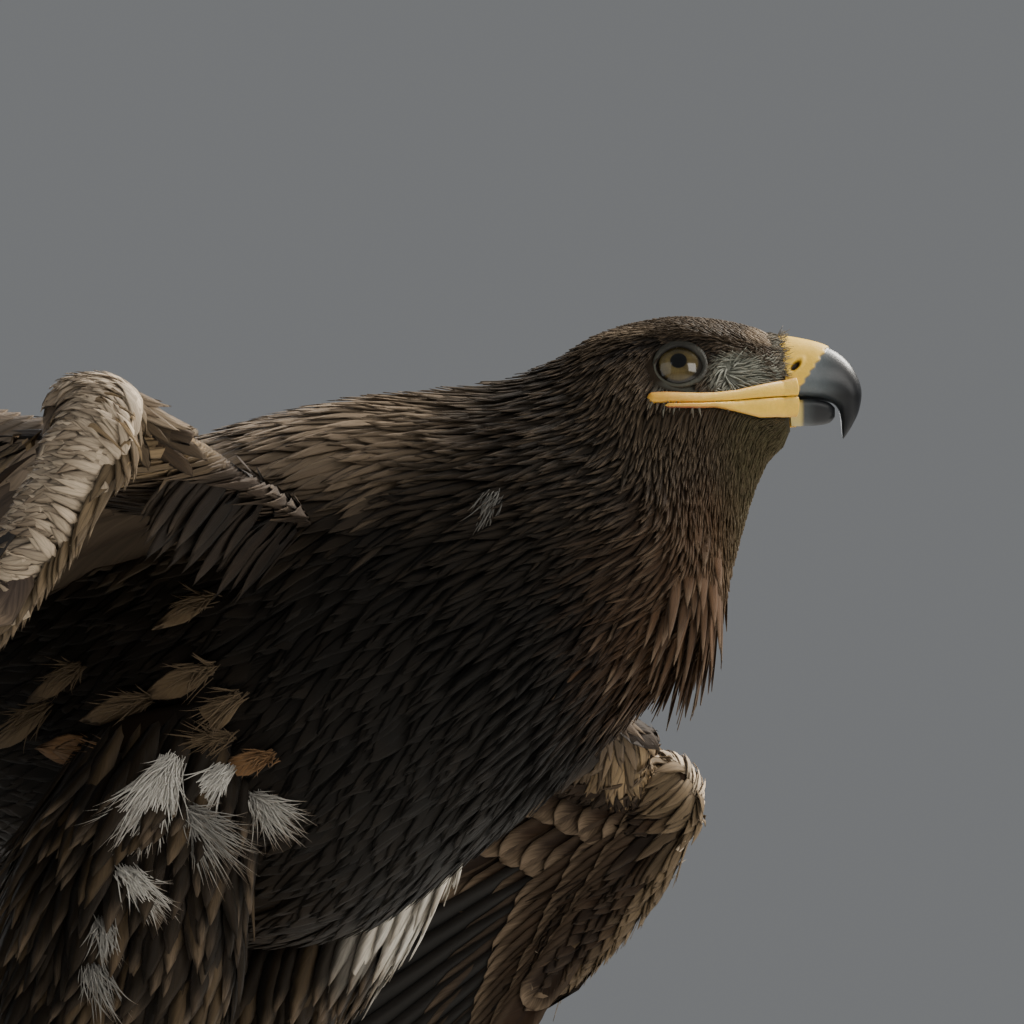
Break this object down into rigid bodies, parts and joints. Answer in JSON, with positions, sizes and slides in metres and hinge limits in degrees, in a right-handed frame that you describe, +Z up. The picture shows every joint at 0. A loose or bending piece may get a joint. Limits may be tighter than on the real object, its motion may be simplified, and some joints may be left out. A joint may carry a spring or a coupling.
{
  "type": "steppe eagle",
  "caption": "Life-size museum model of a steppe eagle, standing and leaning forward with half-open, drooping wings and a turned head.",
  "frame": {"origin": "on the floor, under the middle of the model's bounding box", "axes": "+X the way the body faces, +Y the bird's left, +Z up"},
  "size_m": [0.7322, 0.5558, 0.4765],
  "materials": {
    "plumage": "matt dark brown feathers",
    "flight_feathers": "satin dark brown vanes",
    "bare_skin": "satin yellow skin",
    "bill_horn": "smooth blue-grey to black horn with a yellow cere",
    "claw_horn": "smooth black horn",
    "eye": "wet, clear, olive-brown iris"
  },
  "bodies": {
    "root": {"torso": "plumage", "neck": "plumage", "head": "plumage", "bill_upper": "bill_horn", "bill_lower": "bill_horn", "eye_left": "eye", "eye_right": "eye", "tail": "flight_feathers", "wing_arm_left": "flight_feathers", "wing_arm_right": "flight_feathers", "wing_hand_left": "flight_feathers", "wing_hand_right": "flight_feathers", "thigh_left": "plumage", "thigh_right": "plumage", "shank_left": "plumage", "shank_right": "plumage", "foot_left": "bare_skin", "foot_right": "bare_skin", "claw_inner_left": "claw_horn", "claw_middle_left": "claw_horn", "claw_outer_left": "claw_horn", "claw_hind_left": "claw_horn", "claw_inner_right": "claw_horn", "claw_middle_right": "claw_horn", "claw_outer_right": "claw_horn", "claw_hind_right": "claw_horn"}
  },
  "joints": []
}
